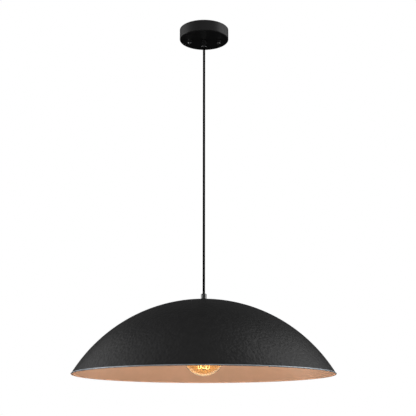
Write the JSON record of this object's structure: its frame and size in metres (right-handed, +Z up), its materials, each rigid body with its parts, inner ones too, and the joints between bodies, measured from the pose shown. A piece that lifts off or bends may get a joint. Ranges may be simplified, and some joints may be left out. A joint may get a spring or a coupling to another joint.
{
  "type": "pendant ceiling light",
  "caption": "Wide shallow dome pendant, black outside and copper inside, hung by a straight black cord from a round ceiling canopy, with a screw-in amber globe bulb.",
  "frame": {"origin": "centre of the ceiling plane, on the flat top of the crossbar", "axes": "+Z up into the ceiling; the light hangs along -Z; +X runs along the crossbar to the right; -Y faces the viewer"},
  "size_m": [0.6, 0.6, 0.851],
  "materials": {
    "shade_black": "matt black with a fine pebbled grain",
    "shade_copper": "satin copper lining",
    "rim_metal": "turned bare metal edge",
    "canopy_black": "satin black",
    "gloss_black": "gloss black",
    "cord_black": "matt black round cord",
    "zinc": "zinc plated",
    "brass": "bright brass",
    "bakelite": "black phenolic moulding",
    "porcelain": "glazed white ceramic",
    "nylon": "natural nylon",
    "live_brown": "brown insulation",
    "neutral_blue": "blue insulation",
    "earth_green": "green insulation",
    "connector_grey": "grey twist-on connector",
    "amber_glass": "clear amber glass",
    "clear_glass": "clear glass",
    "solder": "solder",
    "filament": "lit filament"
  },
  "bodies": {
    "ceiling_set": {"crossbar": "zinc", "canopy": "canopy_black", "canopy_stud_left": "zinc", "canopy_stud_right": "zinc", "stud_locknut_left": "zinc", "stud_locknut_right": "zinc", "cap_nut_left": "gloss_black", "cap_nut_right": "gloss_black", "upper_grip": "gloss_black", "upper_grip_screw": "nylon", "canopy_washer": "zinc", "canopy_locknut": "zinc", "cord_canopy_end": "cord_black", "canopy_lead_live": "live_brown", "wire_connector_live": "connector_grey", "canopy_lead_neutral": "neutral_blue", "wire_connector_neutral": "connector_grey", "earth_eyelet": "brass", "earth_screw": "brass", "canopy_lead_earth": "earth_green"},
    "cord_bend_top": {"cord_bend_upper": "cord_black"},
    "cord": {"cord_suspension": "cord_black"},
    "cord_bend_foot": {"cord_bend_lower": "cord_black"},
    "cord_tail": {"cord_shade_end": "cord_black"},
    "shade_set": {"shade": "shade_black", "top_washer": "gloss_black", "lower_grip": "gloss_black", "lower_grip_screw": "nylon", "nipple": "zinc", "clamp_washer": "zinc", "clamp_nut": "zinc", "socket_cap": "bakelite", "socket_body": "bakelite", "socket_insulator": "porcelain", "socket_contact": "brass", "socket_screw_shell": "brass", "terminal_screw_live": "brass", "terminal_screw_neutral": "brass", "socket_lead_live": "live_brown", "socket_lead_neutral": "neutral_blue", "socket_lead_earth": "earth_green", "cap_locknut": "zinc", "earth_tag": "brass"},
    "bulb_tip": {"bulb_contact": "solder"},
    "bulb": {"bulb_insulator": "bakelite", "bulb_screw_cap": "brass", "bulb_glass": "amber_glass", "bulb_stem": "clear_glass", "bulb_filament": "filament", "filament_support_upper": "zinc", "filament_support_lower": "zinc", "bulb_lead_in_start": "zinc", "bulb_lead_in_end": "zinc"}
  },
  "joints": [
    {"name": "swing_front_back", "type": "hinge", "parent": "ceiling_set", "child": "cord_bend_top", "pos_m": [0, 0, -0.0491], "axis": [1, 0, 0], "range_deg": [-25, 25]},
    {"name": "swing_left_right", "type": "hinge", "parent": "cord_bend_top", "child": "cord", "pos_m": [0, 0, -0.0491], "axis": [0, 1, 0], "range_deg": [-25, 25]},
    {"name": "tilt_front_back", "type": "hinge", "parent": "cord", "child": "cord_bend_foot", "pos_m": [0, 0, -0.6605], "axis": [1, 0, 0], "range_deg": [-20, 20]},
    {"name": "tilt_left_right", "type": "hinge", "parent": "cord_bend_foot", "child": "cord_tail", "pos_m": [0, 0, -0.6605], "axis": [0, 1, 0], "range_deg": [-20, 20]},
    {"name": "shade_twist", "type": "hinge", "parent": "cord_tail", "child": "shade_set", "pos_m": [0, 0, -0.6605], "axis": [0, 0, 1], "range_deg": [-180, 180]},
    {"name": "bulb_travel", "type": "slide", "parent": "shade_set", "child": "bulb_tip", "axis": [0, 0, -1], "range_m": [0, 0.01816]},
    {"name": "bulb_turn", "type": "hinge", "parent": "bulb_tip", "child": "bulb", "pos_m": [0, 0, -0.716], "axis": [0, 0, -1], "range_deg": [0, 1800]}
  ],
  "couplings": [
    {"joint": "bulb_travel", "follows": "bulb_turn", "m_per_rad": 0.00057773}
  ]
}
